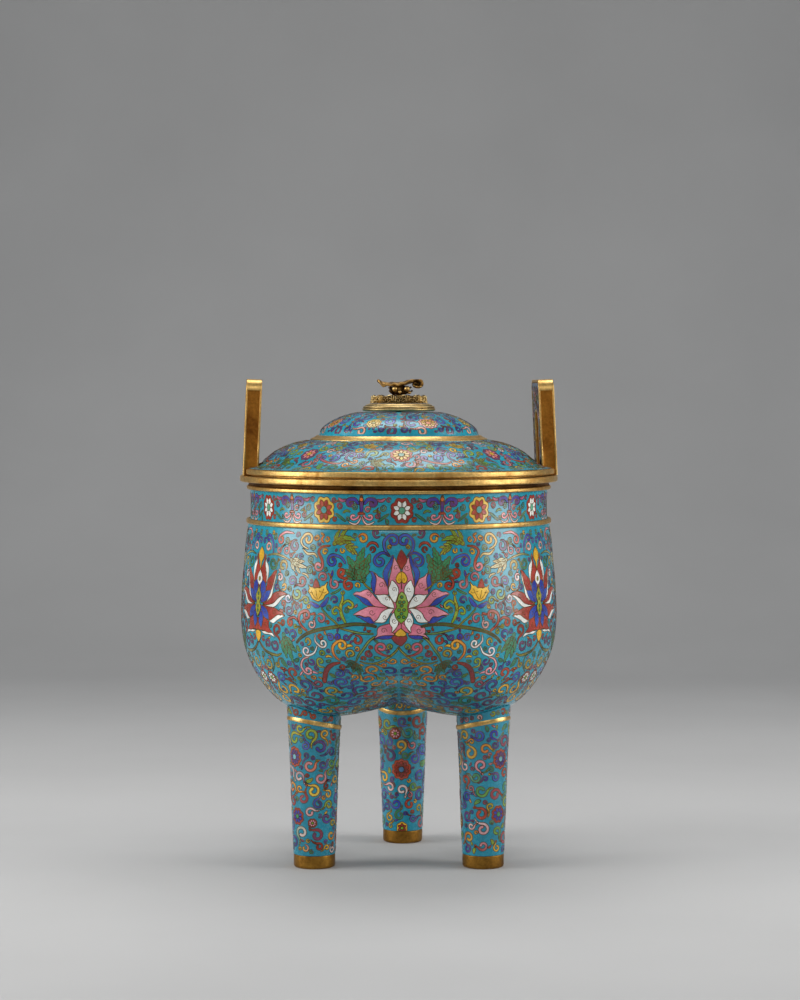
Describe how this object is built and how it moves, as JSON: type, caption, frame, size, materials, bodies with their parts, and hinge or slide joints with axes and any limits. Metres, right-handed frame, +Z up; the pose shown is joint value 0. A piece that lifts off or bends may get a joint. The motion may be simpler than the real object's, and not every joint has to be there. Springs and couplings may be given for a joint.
{
  "type": "lidded tripod incense burner",
  "caption": "Lidded tripod incense burner: lobed cloisonne bowl on round legs with gilt ferrules, upright loop handles, and a two-tier domed lid that lifts off by a leaf finial.",
  "frame": {"origin": "on the floor, at the axis of the bowl", "axes": "+Z up; -Y is the front, with a cleft of the bowl between the two front legs; the handles stand near +X and -X"},
  "size_m": [0.315, 0.315, 0.4774],
  "materials": {
    "turquoise_enamel": "polished cloisonne enamel, fine pits, gilt wires, many-coloured lotus scroll",
    "dark_enamel": "polished dark blue cloisonne enamel with gilt wires",
    "gilt_bronze": "mercury gilding, softly worn",
    "raw_bronze": "ungilded, dull"
  },
  "bodies": {
    "vessel": {"body_shell": "turquoise_enamel", "neck_fillet": "gilt_bronze", "mouth_band": "gilt_bronze", "mouth_flange": "gilt_bronze", "leg_left": "turquoise_enamel", "leg_right": "turquoise_enamel", "leg_rear": "turquoise_enamel", "leg_ring_left": "gilt_bronze", "leg_ring_right": "gilt_bronze", "leg_ring_rear": "gilt_bronze", "foot_left": "gilt_bronze", "foot_right": "gilt_bronze", "foot_rear": "gilt_bronze", "handle_left": "gilt_bronze", "handle_right": "gilt_bronze", "handle_panel_outer_left": "dark_enamel", "handle_panel_inner_left": "dark_enamel", "handle_panel_outer_right": "dark_enamel", "handle_panel_inner_right": "dark_enamel", "handle_peg_left_1": "raw_bronze", "handle_peg_left_2": "raw_bronze", "handle_peg_right_1": "raw_bronze", "handle_peg_right_2": "raw_bronze"},
    "lid": {"lid_shell": "turquoise_enamel", "lid_rim_band": "gilt_bronze", "lid_skirt": "raw_bronze", "lid_step_fillet": "gilt_bronze", "finial_base": "gilt_bronze", "finial_crown": "gilt_bronze", "finial_calyx": "gilt_bronze", "finial_stem": "gilt_bronze", "finial_leaf": "gilt_bronze", "finial_berry_left": "gilt_bronze", "finial_berry_right": "gilt_bronze", "finial_bud_front": "gilt_bronze", "finial_bud_side": "gilt_bronze", "finial_rod": "raw_bronze", "finial_washer": "raw_bronze", "finial_nut": "raw_bronze"}
  },
  "joints": [
    {"name": "lid_lift", "type": "slide", "parent": "vessel", "child": "lid", "axis": [0, 0, 1], "range_m": [0, 0.15]}
  ]
}
